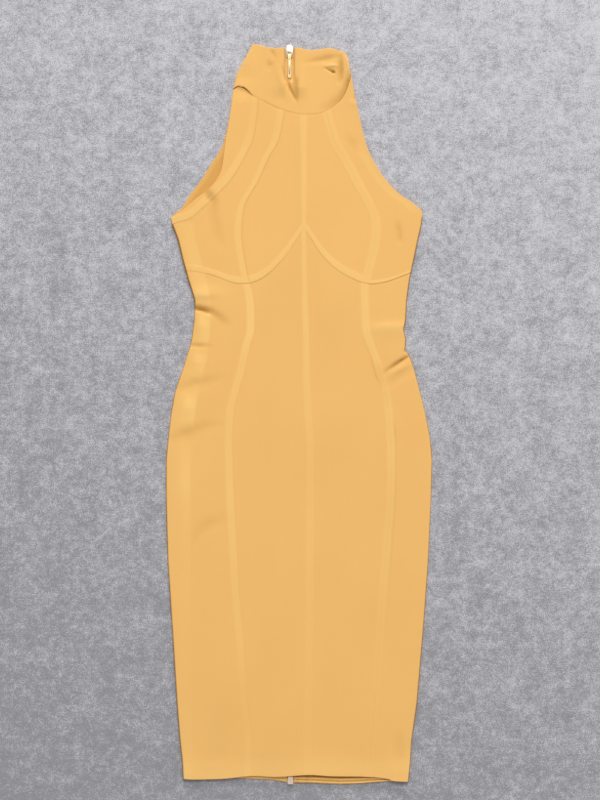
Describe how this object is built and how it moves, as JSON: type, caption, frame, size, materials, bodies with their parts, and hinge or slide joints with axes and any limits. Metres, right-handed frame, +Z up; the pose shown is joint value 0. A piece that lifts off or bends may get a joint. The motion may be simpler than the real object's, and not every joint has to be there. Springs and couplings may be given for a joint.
{
  "type": "bodycon dress",
  "caption": "Sleeveless high-neck bodycon midi dress in banded knit, laid flat front up, with a centre-back metal zip and a swinging pull.",
  "frame": {"origin": "middle of the dress's box, on the surface that it lies on", "axes": "+Y from the hem to the collar, +X to the right as seen, +Z up from the surface, through the front"},
  "size_m": [0.3885, 1.0822, 0.0087],
  "materials": {
    "cloth": "matt banded knit",
    "tape": "woven tape",
    "metal": "polished"
  },
  "bodies": {
    "dress": {"collar_front": "cloth", "collar_back_left": "cloth", "collar_back_right": "cloth", "bust_centre_left": "cloth", "bust_centre_right": "cloth", "bust_side_left": "cloth", "bust_side_right": "cloth", "armhole_band_left": "cloth", "skirt_centre_left": "cloth", "skirt_centre_right": "cloth", "skirt_side_left": "cloth", "skirt_side_right": "cloth", "back_left": "cloth", "back_right": "cloth", "zip_tape_left": "tape", "zip_tape_right": "tape", "zip_chain": "metal", "zip_slider": "metal", "zip_end": "metal"},
    "pull": {"zip_pull": "metal"}
  },
  "joints": [
    {"name": "pull_swing", "type": "hinge", "parent": "dress", "child": "pull", "pos_m": [-0.014, 0.5295, 0.0064], "axis": [-1, 0, 0], "range_deg": [0, 180]}
  ]
}
